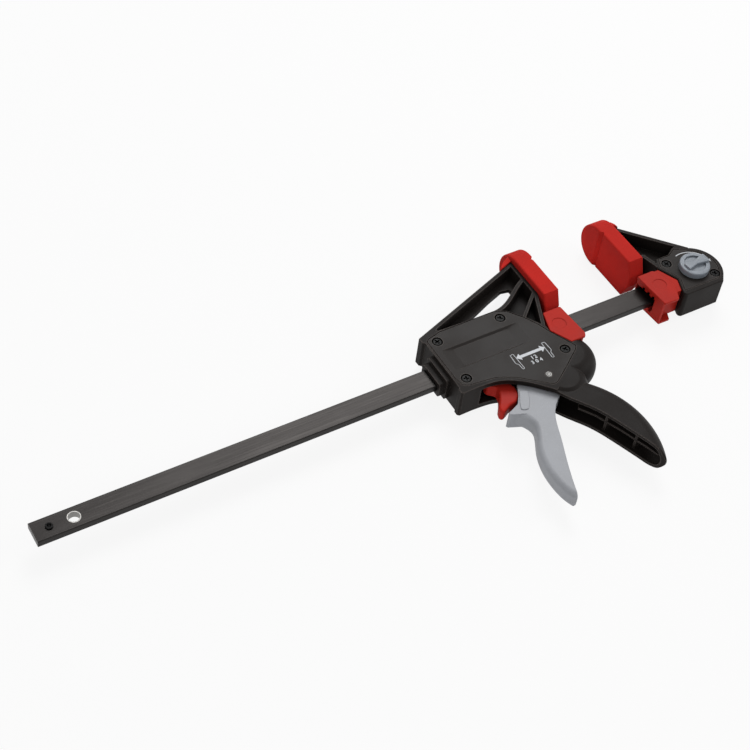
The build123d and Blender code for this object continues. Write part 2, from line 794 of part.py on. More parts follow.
def jaw_block_face():
    """Outline of the fixed jaw's housing round the bar's end."""
    start = on_jaw(jaw_radius, -41.0)
    finish = on_jaw(jaw_radius, 65.0)
    side, low = -20.3, -18.3
    bend = jaw_corner * (1 - math.sqrt(0.5))
    return face_of(
        straight(finish, (3.2, 23.8), (-2.2, 22.4), (-8.2, 18.4), (-18.4, 18.4), (-22.9, 12.0),
                 (-22.7, 10.5), (-16.2, -3.5), (side, -15.0), (side, low + jaw_corner)),
        ThreePointArc((side, low + jaw_corner), (side + bend, low + bend),
                      (side + jaw_corner, low)),
        straight((side + jaw_corner, low), (12.0, low), start),
        ThreePointArc(start, on_jaw(jaw_radius, 12.0), finish),
    )


def fixed_jaw_body():
    """Moulding of the fixed jaw: housing, bar socket and triangular truss."""
    lid_face = jaw_lid_face()
    body = slab(jaw_block_face(), -body_half, body_half)
    body = fillet(rim_edges(body), edge_round)
    back = jaw_pad_back
    top = (back, 59.1)
    shoulder = on_jaw(jaw_radius, 65.0)
    web = face_of(straight(top, shoulder, (0, 18), (-18, 17), (-22.6, 12.5), (-24.0, 23.0),
                           (back, 23.0), top))
    body += slab(web, -web_half, web_half)
    slope = (top[1] - shoulder[1]) / (top[0] - shoulder[0])
    drop = flange_width * math.hypot(1, slope)
    outer = face_of(straight(
        top, shoulder, (shoulder[0] - 1.8, shoulder[1] - 1.8), (back, top[1] - drop), top,
    ))
    post_x = back + flange_width / 2 + 0.2
    faces = [
        outer,
        trace(Line((post_x, 22.5), (post_x, 57.2)), flange_width + 0.4),
        trace(Line((-27.2, 24.6), (-24.4, 24.4)), flange_width),
        trace(Line((-25.0, 25.0), (-21.2, 12.0)), flange_width),
    ]
    for face in faces:
        body += slab(face, -body_half, body_half)
    body -= slab(offset(lid_face, -lid_ledge), slot_half_z + 0.6, lid_under + 0.01)
    body -= slab(offset(lid_face, lid_gap), lid_under, body_half + 1)
    for x, y in jaw_screws:
        body += drum(x, y, post_diameter / 2, slot_half_z, lid_under - boss_height)
        body -= screw_well(x, y)
    body -= bar_slot(-60, 60)
    body -= drum(0, 0, sleeve_outer / 2, floor_top, 0)
    return body - drum(0, 0, lock_pin_flange / 2 + lock_way_gap, 0, lid_under)


def fixed_jaw_lid():
    """Cover plate of the fixed jaw with the hole for the lock knob's hub."""
    lid = lid_plate(jaw_lid_face(), jaw_screws)
    return lid - drum(0, 0, knob_hub_radius + hub_gap, 0, body_half + 1)


def lock_sleeve():
    """Bushing in the jaw's floor that takes the lock pin below the bar."""
    top = -bar_flat - bar_gap
    sleeve = drum(0, 0, sleeve_outer / 2, top - sleeve_height, top)
    return sleeve - drum(0, 0, lock_pin_diameter / 2 + sleeve_gap, top - sleeve_height - 1, 0)


def lock_knob():
    """Round knob with a hollow hub, a raised rim and a bow-tie grip."""
    bottom = body_half + knob_lift
    knob = drum(0, 0, knob_radius, bottom, knob_top)
    knob = fillet(knob.edges().group_by(Axis.Z)[-1], knob_edge_round)
    knob -= drum(0, 0, knob_radius - knob_rim, knob_top - knob_sink, knob_top + 1)
    knob -= drum(0, 0, knob_radius - knob_skirt, bottom - 1, bottom + knob_skirt)
    knob += drum(0, 0, knob_hub_radius, knob_hub_bottom, knob_ceiling + 0.5)
    knob -= drum(0, 0, knob_hub_bore, knob_hub_bottom - 1, knob_ceiling)
    bow = polygon((-grip_short_reach, -grip_short_half, 1), (0, -grip_waist_half, 4),
                  (grip_long_reach, -grip_long_half, 1), (grip_long_reach, grip_long_half, 1),
                  (0, grip_waist_half, 4), (-grip_short_reach, grip_short_half, 1))
    floor = knob_top - knob_sink
    grip = slab(bow, floor - 0.1, knob_top + knob_grip_height)
    grip = fillet(grip.edges().group_by(Axis.Z)[-1], grip_round)
    return knob + Rot(0, 0, knob_grip_angle) * grip


def knob_clip():
    """Split ring on the hub that keeps the knob in the cover plate."""
    top = lid_under - 0.1
    ring = drum(0, 0, knob_hub_radius + clip_width, top - clip_thickness, top)
    ring -= drum(0, 0, knob_hub_radius, top - clip_thickness - 1, top + 1)
    return ring - block(0, 20, -clip_split / 2, clip_split / 2, top - 3, top + 1)


def lock_pin():
    """Sprung pin that locks the jaw through the bar's hole."""
    base = lock_pin_flange_base
    flange_top = base + lock_pin_flange_height
    pin = drum(0, 0, lock_pin_diameter / 2, lock_pin_bottom, base + 0.1)
    pin = chamfer(pin.edges().group_by(Axis.Z)[0], lock_pin_chamfer)
    pin += drum(0, 0, lock_pin_flange / 2, base, flange_top)
    return pin + drum(0, 0, lock_pin_stem_radius, flange_top - 0.1, flange_top + lock_pin_stem)


def lock_spring():
    """Coil between the lock pin's flange and the knob's ceiling."""
    base = lock_pin_flange_base + lock_pin_flange_height
    height = knob_ceiling - base - lock_wire
    path = Helix(pitch=height / lock_coils, height=height, radius=lock_spring_radius)
    wire = Plane(path @ 0, z_dir=path % 0) * Circle(lock_wire / 2)
    return Pos(0, 0, base + lock_wire / 2) * sweep(wire, path=path)


# ---------------------------------------------------------------- nodes

def all_nodes():
    """Every node of the clamp in its place."""
    on_slider = Pos(slider_x, 0, 0)
    on_end = Pos(hole_pitch, 0, 0)
    rear_plate = drive_plate_x + drive_plate_thickness
    turns = (20, 55, 35, 70)
    screws = [cross_screw(x, y, turn) for (x, y), turn in zip(lid_screws, turns)]
    end_screws = [cross_screw(x, y, turn) for (x, y), turn in zip(jaw_screws, turns)]
    return {
        "bar": bar(),
        "stop_pin": stop_pin(),
        "slider_body": on_slider * slider_body(),
        "slider_lid": on_slider * slider_lid(),
        "slider_lid_screws": group(on_slider * screw for screw in screws),
        "moving_pad": on_slider * moving_pad(),
        "moving_guard": on_slider * moving_guard(),
        "trigger": on_slider * trigger(),
        "trigger_pin": on_slider * trigger_pin(),
        "drive_plate_front": on_slider * drive_plate(drive_plate_x),
        "drive_plate_rear": on_slider * drive_plate(rear_plate),
        "drive_spring": on_slider * drive_spring(),
        "brake_plate": on_slider * brake_plate(),
        "brake_spring": on_slider * brake_spring(),
        "release_lever": on_slider * release_lever(),
        "fixed_jaw_body": on_end * fixed_jaw_body(),
        "fixed_jaw_lid": on_end * fixed_jaw_lid(),
        "fixed_jaw_screws": group(on_end * screw for screw in end_screws),
        "fixed_pad": on_end * fixed_pad(),
        "fixed_guard": on_end * fixed_guard(),
        "lock_sleeve": on_end * lock_sleeve(),
        "lock_knob": on_end * lock_knob(),
        "knob_clip": on_end * knob_clip(),
        "lock_pin": on_end * lock_pin(),
        "lock_spring": on_end * lock_spring(),
    }


def main():
    """Writes one file for each node."""
    os.makedirs("parts", exist_ok=True)
    for name, shape in all_nodes().items():
        export_step(shape, "parts/" + name + ".step")


main()
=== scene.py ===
"""Looks of a one-handed quick release bar clamp: finishes, printed marks, floor, light, camera."""

import json
import math

import bmesh
import bpy
import numpy as np
from mathutils import Matrix, Vector


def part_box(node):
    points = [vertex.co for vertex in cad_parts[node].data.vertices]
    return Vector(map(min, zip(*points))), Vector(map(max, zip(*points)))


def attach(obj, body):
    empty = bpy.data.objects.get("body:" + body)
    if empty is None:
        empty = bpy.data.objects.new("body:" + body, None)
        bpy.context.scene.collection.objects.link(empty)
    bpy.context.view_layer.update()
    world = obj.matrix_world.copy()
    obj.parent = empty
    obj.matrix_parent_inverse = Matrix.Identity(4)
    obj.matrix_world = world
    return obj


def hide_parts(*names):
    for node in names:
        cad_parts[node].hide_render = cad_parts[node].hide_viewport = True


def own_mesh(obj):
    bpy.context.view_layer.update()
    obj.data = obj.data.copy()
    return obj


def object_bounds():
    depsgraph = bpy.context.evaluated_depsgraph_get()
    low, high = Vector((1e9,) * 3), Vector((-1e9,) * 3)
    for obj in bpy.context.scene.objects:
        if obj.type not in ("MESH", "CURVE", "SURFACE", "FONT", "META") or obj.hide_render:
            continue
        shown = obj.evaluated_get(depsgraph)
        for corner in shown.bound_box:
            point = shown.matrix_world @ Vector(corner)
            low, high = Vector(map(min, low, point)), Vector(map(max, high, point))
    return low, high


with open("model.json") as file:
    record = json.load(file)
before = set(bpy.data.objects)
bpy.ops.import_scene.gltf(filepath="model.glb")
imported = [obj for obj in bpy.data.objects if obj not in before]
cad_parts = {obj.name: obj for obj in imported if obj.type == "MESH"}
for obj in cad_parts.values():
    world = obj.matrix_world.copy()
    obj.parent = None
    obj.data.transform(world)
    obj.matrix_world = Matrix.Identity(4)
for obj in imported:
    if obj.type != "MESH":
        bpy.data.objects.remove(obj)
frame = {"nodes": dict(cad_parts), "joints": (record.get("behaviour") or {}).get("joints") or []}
cad_low, cad_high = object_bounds()
joint_places = {joint["name"]: joint.get("pos_m") for joint in frame["joints"]}

MM = 0.001
BAR_END_HOLE = (0, 0, 0)
KNOB_AXIS = joint_places["knob_turn"]
PIVOT = joint_places["trigger_squeeze"]
COVER_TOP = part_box("slider_lid")[1].z
PRINT_LEVEL = COVER_TOP + 0.04 * MM

NUMBER = "NodeSocketFloat"
VECTOR = "NodeSocketVector"


# ---- node helpers ----

class Graph:
    """Short way to add and join nodes in one node tree."""

    def __init__(self, tree):
        self.tree = tree

    def add(self, kind, **settings):
        """Adds a node and sets its plain properties."""
        node = self.tree.nodes.new(kind)
        for name, value in settings.items():
            setattr(node, name, value)
        return node

    def find(self, kind):
        """The tree's own first node of a kind."""
        return next(node for node in self.tree.nodes if node.type == kind)

    def feed(self, socket, source):
        """Joins a source to a socket, or sets the socket's own value."""
        if isinstance(source, bpy.types.NodeSocket):
            self.tree.links.new(source, socket)
        else:
            socket.default_value = source

    def math(self, operation, first, second=0.0):
        """One arithmetic step."""
        node = self.add("ShaderNodeMath", operation=operation)
        self.feed(node.inputs[0], first)
        self.feed(node.inputs[1], second)
        return node.outputs[0]

    def ramp(self, value, low, high, start=0.0, end=1.0):
        """Maps a range of a value smoothly onto another range."""
        node = self.add("ShaderNodeMapRange", interpolation_type="SMOOTHSTEP")
        for name, source in (("Value", value), ("From Min", low), ("From Max", high),
                             ("To Min", start), ("To Max", end)):
            self.feed(node.inputs[name], source)
        return node.outputs["Result"]

    def blend(self, factor, first, second):
        """Mixes two colours by a mask."""
        node = self.add("ShaderNodeMix", data_type="RGBA")
        self.feed(node.inputs[0], factor)
        self.feed(node.inputs[6], first)
        self.feed(node.inputs[7], second)
        return node.outputs[2]

    def place(self, scale=(1, 1, 1), shift=(0, 0, 0)):
        """Object coordinates, scaled along each axis and shifted."""
        where = self.add("ShaderNodeTexCoord")
        mapping = self.add("ShaderNodeMapping")
        self.feed(mapping.inputs["Vector"], where.outputs["Object"])
        self.feed(mapping.inputs["Scale"], scale)
        self.feed(mapping.inputs["Location"], shift)
        return mapping.outputs["Vector"]

    def noise(self, vector, scale, detail=3.0, rough=0.5):
        """Plain noise value."""
        node = self.add("ShaderNodeTexNoise")
        for name, source in (("Vector", vector), ("Scale", scale), ("Detail", detail),
                             ("Roughness", rough)):
            self.feed(node.inputs[name], source)
        return node.outputs["Fac"]

    def group(self, shared, **values):
        """Places a shared node group and sets or joins its inputs."""
        node = self.add("ShaderNodeGroup", node_tree=shared)
        for name, source in values.items():
            self.feed(node.inputs[name], source)
        return node.outputs


def new_group(name, inputs, outputs):
    """Empty node group with named sockets; gives its graph and its two ends."""
    tree = bpy.data.node_groups.new(name, "ShaderNodeTree")
    for label, kind, value in inputs:
        socket = tree.interface.new_socket(label, in_out="INPUT", socket_type=kind)
        socket.default_value = value
    for label in outputs:
        tree.interface.new_socket(label, in_out="OUTPUT", socket_type=NUMBER)
    graph = Graph(tree)
    return tree, graph, graph.add("NodeGroupInput").outputs, graph.add("NodeGroupOutput").inputs


# ---- effects that several finishes share ----

def edge_group():
    """Masks for a painted highlight along outer edges and for painted shade in sheltered corners.

    The lean is one less the cosine between a rounded normal and the true one. An edge gets
    the painted highlight where it leans, in patches, and only where the sky is open above it.
    """
    tree, graph, given, out = new_group(
        "edge_mask",
        [("Width", NUMBER, 0.0008), ("Patchiness", NUMBER, 0.5)],
        ["Mask", "CornerShade"],
    )
    shelter_reach = 0.006
    patch_scale = 420.0
    lean_starts, lean_full = 0.015, 0.20
    open_starts, open_full = 0.62, 0.85
    shelter_starts, shelter_full = 0.65, 0.15
    open_sky = graph.add("ShaderNodeAmbientOcclusion", samples=6)
    graph.feed(open_sky.inputs["Distance"], shelter_reach)
    soft = graph.add("ShaderNodeBevel", samples=6)
    graph.feed(soft.inputs["Radius"], given["Width"])
    true = graph.add("ShaderNodeNewGeometry")
    dot = graph.add("ShaderNodeVectorMath", operation="DOT_PRODUCT")
    graph.feed(dot.inputs[0], soft.outputs["Normal"])
    graph.feed(dot.inputs[1], true.outputs["Normal"])
    lean = graph.math("SUBTRACT", 1.0, dot.outputs["Value"])
    edge = graph.ramp(lean, lean_starts, lean_full)
    patch = graph.ramp(graph.noise(graph.place(), patch_scale, 4.0, 0.6), 0.35, 0.65)
    keep = graph.math("MULTIPLY", given["Patchiness"], patch)
    rest = graph.math("SUBTRACT", 1.0, given["Patchiness"])
    # painted highlight mask along leaning edges, broken into patches
    worn = graph.math("MULTIPLY", edge, graph.math("ADD", keep, rest))
    bare = graph.ramp(open_sky.outputs["AO"], open_starts, open_full)
    graph.feed(out["Mask"], graph.math("MULTIPLY", worn, bare))
    # painted shade mask in corners and recesses, from the ambient occlusion
    graph.feed(out["CornerShade"], graph.ramp(open_sky.outputs["AO"], shelter_starts, shelter_full))
    return tree


def grain_group():
    """Spark-eroded mould texture: fine pits, a slow waviness and slight clouding."""
    tree, graph, given, out = new_group(
        "mould_grain",
        [("Scale", NUMBER, 2600.0)],
        ["Height", "Cloud", "Speck"],
    )
    wave_scale, cloud_scale, speck_scale = 160.0, 34.0, 1500.0
    wave_height = 0.8
    where = graph.place()
    fine = graph.noise(where, given["Scale"], 2.0, 0.6)
    broad = graph.noise(where, wave_scale, 3.0, 0.5)
    clouds = graph.noise(where, cloud_scale, 4.0, 0.55)
    specks = graph.noise(where, speck_scale, 1.0, 0.5)
    height = graph.math("ADD", fine, graph.math("MULTIPLY", broad, wave_height))
    graph.feed(out["Height"], height)
    graph.feed(out["Cloud"], graph.ramp(clouds, 0.3, 0.7))
    graph.feed(out["Speck"], graph.ramp(specks, 0.60, 0.70))
    return tree


def drawn_group():
    """Fine lines along the bar, left by drawing and brushing, with faint scratches.

    Each is a noise that is squeezed across the bar far more than along it.
    """
    tree, graph, given, out = new_group(
        "drawn_lines",
        [("Fineness", NUMBER, 1.0)],
        ["Lines", "Scratch", "Cloud"],
    )
    line_squeeze = (18, 2600, 2600)
    scratch_squeeze, scratch_shift = (26, 1500, 1500), (3.1, 0.7, 0.2)
    cloud_squeeze, cloud_scale = (1, 3, 3), 24.0
    lines = graph.noise(graph.place(line_squeeze), given["Fineness"], 3.0, 0.6)
    thin = graph.noise(graph.place(scratch_squeeze, scratch_shift), 1.0, 2.0, 0.5)
    clouds = graph.noise(graph.place(cloud_squeeze), cloud_scale, 4.0)
    graph.feed(out["Lines"], lines)
    graph.feed(out["Scratch"], graph.ramp(thin, 0.63, 0.70))
    graph.feed(out["Cloud"], graph.ramp(clouds, 0.3, 0.7))
    return tree


def ring_group():
    """Mask of a ring about a point in plan, for a painted highlight on a hole's rim or painted
    shade round a pin.

    It is full where the distance from the centre is the radius, and fades over the width.
    """
    tree, graph, given, out = new_group(
        "plan_ring",
        [("Centre", VECTOR, (0, 0, 0)), ("Radius", NUMBER, 0.0037), ("Width", NUMBER, 0.0006)],
        ["Mask"],
    )
    flat = graph.add("ShaderNodeVectorMath", operation="MULTIPLY")
    graph.feed(flat.inputs[0], graph.place())
    graph.feed(flat.inputs[1], (1, 1, 0))
    reach = graph.add("ShaderNodeVectorMath", operation="DISTANCE")
    graph.feed(reach.inputs[0], flat.outputs["Vector"])
    graph.feed(reach.inputs[1], given["Centre"])
    away = graph.math("SUBTRACT", reach.outputs["Value"], given["Radius"])
    near = graph.math("DIVIDE", graph.math("ABSOLUTE", away), given["Width"])
    graph.feed(out["Mask"], graph.ramp(near, 1.0, 0.4))
    return tree


EDGE = edge_group()
GRAIN = grain_group()
DRAWN = drawn_group()
RING = ring_group()


# ---- finishes ----

def new_material(name, metallic=0.0, specular=0.5):
    """Empty material with its shader; gives its graph and the shader's sockets."""
    material = bpy.data.materials.new(name)
    material.use_nodes = True
    graph = Graph(material.node_tree)
    sockets = graph.find("BSDF_PRINCIPLED").inputs
    sockets["Metallic"].default_value = metallic
    sockets["Specular IOR Level"].default_value = specular
    return material, graph, sockets


def shade(colour, gain):
    """A colour made lighter or darker."""
    return tuple(min(1.0, channel * gain) for channel in colour) + (1.0,)


def rough_surface(graph, sockets, height, depth, soft_edge):
    """Bump from a height, laid over slightly rounded edges."""
    bump = graph.add("ShaderNodeBump")
    graph.feed(bump.inputs["Height"], height)
    graph.feed(bump.inputs["Distance"], depth)
    graph.feed(bump.inputs["Strength"], 1.0)
    rounded = graph.add("ShaderNodeBevel", samples=6)
    graph.feed(rounded.inputs["Radius"], soft_edge)
    graph.feed(bump.inputs["Normal"], rounded.outputs["Normal"])
    graph.feed(sockets["Normal"], bump.outputs["Normal"])


def moulded(name, colour, roughness, grain_scale, grain_depth, highlight_strength, soft_edge=0.0004,
            specular=0.5, highlight_gain=1.9, edge_width=0.0008):
    """Moulded plastic or rubber: clouded colour, mould grain, painted edge highlights and painted
    corner shade.
    """
    cloud_dark, cloud_light = 0.9, 1.1
    speck_gain, speck_share = 1.35, 0.35
    corner_shade_gain, corner_shade_share = 0.3, 0.7
    gloss_swing, edge_gloss = 0.05, 0.12
    material, graph, sockets = new_material(name, 0.0, specular)
    grain = graph.group(GRAIN, Scale=grain_scale)
    edge = graph.group(EDGE, Width=edge_width, Patchiness=0.35)
    base = graph.blend(grain["Cloud"], shade(colour, cloud_dark), shade(colour, cloud_light))
    speck = graph.math("MULTIPLY", grain["Speck"], speck_share)
    base = graph.blend(speck, base, shade(colour, speck_gain))
    # painted highlight: outer edges made lighter by the edge mask
    edge_highlight = graph.math("MULTIPLY", edge["Mask"], highlight_strength)
    base = graph.blend(edge_highlight, base, shade(colour, highlight_gain))
    # painted shade: corners and recesses made darker by the ambient occlusion mask
    corner_shade = graph.math("MULTIPLY", edge["CornerShade"], corner_shade_share)
    base = graph.blend(corner_shade, base, shade(colour, corner_shade_gain))
    graph.feed(sockets["Base Color"], base)
    gloss = graph.ramp(grain["Cloud"], 0.0, 1.0, roughness - gloss_swing,
                       roughness + gloss_swing)
    # edges with the painted highlight are also a little glossier
    gloss = graph.math("SUBTRACT", gloss, graph.math("MULTIPLY", edge_highlight, edge_gloss))
    graph.feed(sockets["Roughness"], gloss)
    rough_surface(graph, sockets, grain["Height"], grain_depth, soft_edge)
    return material


def plated(name, colour, roughness, lines, pin_axis=None):
    """Plated or hardened small steel parts with faint turned lines and painted highlights on their
    edges.

    Where an axis is given, painted shade darkens the pin's rim in place of the gap round it, and
    its end has a dark swaged ring.
    """
    cloud_scale, cloud_dark, cloud_light = 200.0, 0.85, 1.1
    edge_highlight_gain, edge_highlight_share = 1.6, 0.5
    gap_shade_and_groove_gain, swage_share = 0.12, 0.6
    gloss_swing = 0.08
    line_depth, soft_edge = 0.00001, 0.0002
    material, graph, sockets = new_material(name, 1.0)
    mark = graph.noise(graph.place((lines, lines, 6 * lines)), 1.0, 3.0, 0.6)
    cloud = graph.ramp(graph.noise(graph.place(), cloud_scale, 3.0), 0.3, 0.7)
    base = graph.blend(cloud, shade(colour, cloud_dark), shade(colour, cloud_light))
    edge = graph.group(EDGE, Width=0.0004, Patchiness=0.4)
    # painted highlight: edges made lighter by the edge mask
    edge_highlight = graph.math("MULTIPLY", edge["Mask"], edge_highlight_share)
    base = graph.blend(edge_highlight, base, shade(colour, edge_highlight_gain))
    if pin_axis:
        # painted shade at the pin's rim, where the gap round it would be dark; a fainter dark ring
        # marks the swage
        rim = graph.group(RING, Centre=pin_axis, Radius=0.0028, Width=0.0009)
        swage = graph.group(RING, Centre=pin_axis, Radius=0.0012, Width=0.0004)
        groove = graph.math("MULTIPLY", swage["Mask"], swage_share)
        dark = graph.math("MAXIMUM", rim["Mask"], groove)
        base = graph.blend(dark, base, shade(colour, gap_shade_and_groove_gain))
    graph.feed(sockets["Base Color"], base)
    gloss = graph.ramp(mark, 0.3, 0.7, roughness - gloss_swing, roughness + gloss_swing)
    graph.feed(sockets["Roughness"], gloss)
    rough_surface(graph, sockets, mark, line_depth, soft_edge)
    return material


def bar_steel():
    """Dark drawn bar: lines along its length, painted highlights on the rims of its holes and on
    its edges.
    """
    colour = (0.0230, 0.0215, 0.0208)
    highlight_colour = (0.24, 0.235, 0.225, 1.0)
    cloud_dark, cloud_light = 0.9, 1.12
    streak_gain, streak_share = 1.5, 0.25
    scratch_gain, scratch_share = 1.8, 0.4
    edge_highlight_share = 0.55
    glossy, dull = 0.30, 0.44
    line_depth, soft_edge = 0.000012, 0.0003
    material, graph, sockets = new_material("bar_steel", 1.0)
    drawn = graph.group(DRAWN)
    edge = graph.group(EDGE, Width=0.0006, Patchiness=0.35)
    near = graph.group(RING, Centre=BAR_END_HOLE)
    far = graph.group(RING, Centre=KNOB_AXIS)
    base = graph.blend(drawn["Cloud"], shade(colour, cloud_dark), shade(colour, cloud_light))
    streak = graph.ramp(drawn["Lines"], 0.35, 0.7, 0.0, streak_share)
    base = graph.blend(streak, base, shade(colour, streak_gain))
    scratch = graph.math("MULTIPLY", drawn["Scratch"], scratch_share)
    base = graph.blend(scratch, base, shade(colour, scratch_gain))
    # painted highlight on the rims of the two holes and along the edges
    rim = graph.math("MAXIMUM", near["Mask"], far["Mask"])
    bright = graph.math("MAXIMUM", graph.math("MULTIPLY", edge["Mask"], edge_highlight_share), rim)
    graph.feed(sockets["Base Color"], graph.blend(bright, base, highlight_colour))
    graph.feed(sockets["Roughness"], graph.ramp(drawn["Lines"], 0.3, 0.7, glossy, dull))
    rough_surface(graph, sockets, drawn["Lines"], line_depth, soft_edge)
    return material


def ink(name, colour):
    """Pad-printed ink, slightly broken up where it sits on the grain."""
    material, graph, sockets = new_material(name)
    grain_scale, worn_gain = 2200.0, 0.5
    worn = graph.ramp(graph.noise(graph.place(), grain_scale, 3.0), 0.62, 0.74)
    base = graph.blend(worn, shade(colour, 1.0), shade(colour, worn_gain))
    graph.feed(sockets["Base Color"], base)
    graph.feed(sockets["Roughness"], graph.ramp(worn, 0.0, 1.0, 0.5, 0.7))
    return material


# ---- finishes of the construction's nodes ----

HOUSING = (0.0120, 0.0098, 0.0088)
COVER = (0.0185, 0.0156, 0.0142)
PAD_RED = (0.530, 0.024, 0.018)
GUARD_RED = (0.440, 0.022, 0.014)
TRIGGER_GREY = (0.335, 0.345, 0.370)
KNOB_GREY = (0.205, 0.232, 0.265)
OXIDE_BLACK = (0.012, 0.012, 0.012)
PIN_STEEL = (0.15, 0.147, 0.143)
PLATE_STEEL = (0.34, 0.33, 0.32)
SPRING_STEEL = (0.45, 0.44, 0.42)
PRINT_WHITE = (0.60, 0.62, 0.65)


def dress_nodes():
    """Gives each node its finish."""
    # The edge settings of each moulded finish set how strong and how light its painted edge
    # highlight is.
    housing = moulded("housing_plastic", HOUSING, roughness=0.46, grain_scale=2600.0,
                      grain_depth=0.00003, highlight_strength=1.0, specular=0.08, highlight_gain=7.0,
                      edge_width=0.0016)
    cover = moulded("cover_plastic", COVER, roughness=0.46, grain_scale=3000.0,
                    grain_depth=0.00003, highlight_strength=1.0, soft_edge=0.0003, specular=0.12, highlight_gain=5.5,
                    edge_width=0.0014)
    pad = moulded("pad_rubber", PAD_RED, roughness=0.70, grain_scale=3400.0,
                  grain_depth=0.00004, highlight_strength=0.12, soft_edge=0.0006, specular=0.06)
    guard = moulded("guard_plastic", GUARD_RED, roughness=0.46, grain_scale=2400.0,
                    grain_depth=0.00002, highlight_strength=0.15, specular=0.08)
    trigger = moulded("trigger_plastic", TRIGGER_GREY, roughness=0.50, grain_scale=2600.0,
                      grain_depth=0.00003, highlight_strength=0.10, soft_edge=0.0006)
    knob = moulded("knob_plastic", KNOB_GREY, roughness=0.34, grain_scale=2400.0,
                   grain_depth=0.00001, highlight_strength=0.85, soft_edge=0.0005, highlight_gain=2.0,
                   edge_width=0.0014)
    black = plated("screw_black", OXIDE_BLACK, roughness=0.42, lines=1800.0)
    bright = plated("pin_steel", PIN_STEEL, roughness=0.45, lines=1600.0)
    swaged = plated("pivot_steel", PIN_STEEL, roughness=0.45, lines=1600.0, pin_axis=PIVOT)
    hard = plated("plate_steel", PLATE_STEEL, roughness=0.38, lines=900.0)
    wire = plated("spring_wire", SPRING_STEEL, roughness=0.32, lines=2600.0)
    finish = {
        "bar": bar_steel(),
        "stop_pin": black,
        "slider_body": housing,
        "fixed_jaw_body": housing,
        "slider_lid": cover,
        "fixed_jaw_lid": cover,
        "slider_lid_screws": black,
        "fixed_jaw_screws": black,
        "moving_pad": pad,
        "fixed_pad": pad,
        "moving_guard": guard,
        "fixed_guard": guard,
        "release_lever": guard,
        "trigger": trigger,
        "trigger_pin": swaged,
        "drive_plate_front": hard,
        "drive_plate_rear": hard,
        "brake_plate": hard,
        "drive_spring": wire,
        "brake_spring": wire,
        "lock_spring": wire,
        "lock_knob": knob,
        "knob_clip": hard,
        "lock_sleeve": hard,
        "lock_pin": bright,
    }
    for name, material in finish.items():
        for slot in frame["nodes"][name].material_slots:
            slot.material = material


# ---- coil springs ----

def coil_mesh(name, low, high, wire, turns, axis):
    """Closed round wire wound to fill a box from its low corner to its high one.

    A circle of the wire's radius is carried along a helix: at share t the helix has turned
    t times its turns and risen t times its length less one wire. The circle leans with the
    helix, and a face closes each end.
    """
    steps, sides = 28 * turns, 10
    across, other = (axis + 1) % 3, (axis + 2) % 3
    middle = (low + high) / 2
    length = high[axis] - low[axis]
    radius = (high[across] - low[across] - wire) / 2
    turn = np.linspace(0, 2 * math.pi * turns, steps + 1)[:, None]
    ring = np.linspace(0, 2 * math.pi, sides, endpoint=False)[None, :]
    lean = math.atan((length - wire) / (2 * math.pi * turns * radius))
    reach = radius + wire / 2 * np.cos(ring)
    side = wire / 2 * np.sin(ring)
    rise = (length - wire) * turn / (2 * math.pi * turns)
    points = np.zeros((steps + 1, sides, 3))
    points[..., across] = reach * np.cos(turn) + side * math.sin(lean) * np.sin(turn)
    points[..., other] = reach * np.sin(turn) - side * math.sin(lean) * np.cos(turn)
    points[..., across] += middle[across]
    points[..., other] += middle[other]
    points[..., axis] = low[axis] + wire / 2 + rise + side * math.cos(lean)
    index = np.arange((steps + 1) * sides).reshape(steps + 1, sides)
    after = np.roll(index, -1, 1)
    quads = np.stack([index[:-1], index[1:], after[1:], after[:-1]], -1).reshape(-1, 4)
    faces = quads.tolist() + [index[0].tolist(), index[-1][::-1].tolist()]
    mesh = bpy.data.meshes.new(name)
    mesh.from_pydata(points.reshape(-1, 3).tolist(), [], faces)
    outward = bmesh.new()
    outward.from_mesh(mesh)
    bmesh.ops.recalc_face_normals(outward, faces=outward.faces)
    outward.to_mesh(mesh)
    outward.free()
    mesh.shade_smooth()
    return mesh


def coil_spring(node, body, wire, turns, axis, material):
    """Coil in place of a node's plain one, carried by the node's body."""
    low, high = (np.array(corner, float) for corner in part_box(node))
    mesh = coil_mesh(node + "_coil", low, high, wire, turns, axis)
    mesh.materials.append(material)
    piece = bpy.data.objects.new(node + "_coil", mesh)
    bpy.context.scene.collection.objects.link(piece)
    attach(piece, body)
    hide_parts(node)
    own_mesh(piece)


def springs_that_move():
    """Coils that push back the drive plates, along X, and the lock pin, along Z."""
    wire = plated("moving_spring_wire", SPRING_STEEL, roughness=0.32, lines=2600.0)
    coil_spring("drive_spring", "slider", wire=0.0008, turns=5,
                axis=0, material=wire)
    coil_spring("lock_spring", "lock_knob", wire=0.0006, turns=3,
                axis=2, material=wire)


# ---- printed marks ----

def lay_print(name, mesh, body, material):
    """Makes a flat mesh a printed piece of a body's cover."""
    mesh.materials.clear()
    mesh.materials.append(material)
    piece = bpy.data.objects.new(name, mesh)
    bpy.context.scene.collection.objects.link(piece)
    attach(piece, body)


def print_shape(name, outlines, body, material, x0, y0):
    """Thin printed shapes on the cover: each outline is a flat closed loop in millimetres."""
    points = []
    faces = []
    for outline in outlines:
        loop = (np.asarray(outline, float) + (x0, y0)) * MM
        start = len(points)
        level = np.full((len(loop), 1), PRINT_LEVEL)
        points += np.hstack([loop, level]).tolist()
        faces.append(list(range(start, start + len(loop))))
    mesh = bpy.data.meshes.new(name)
    mesh.from_pydata(points, [], faces)
    lay_print(name, mesh, body, material)


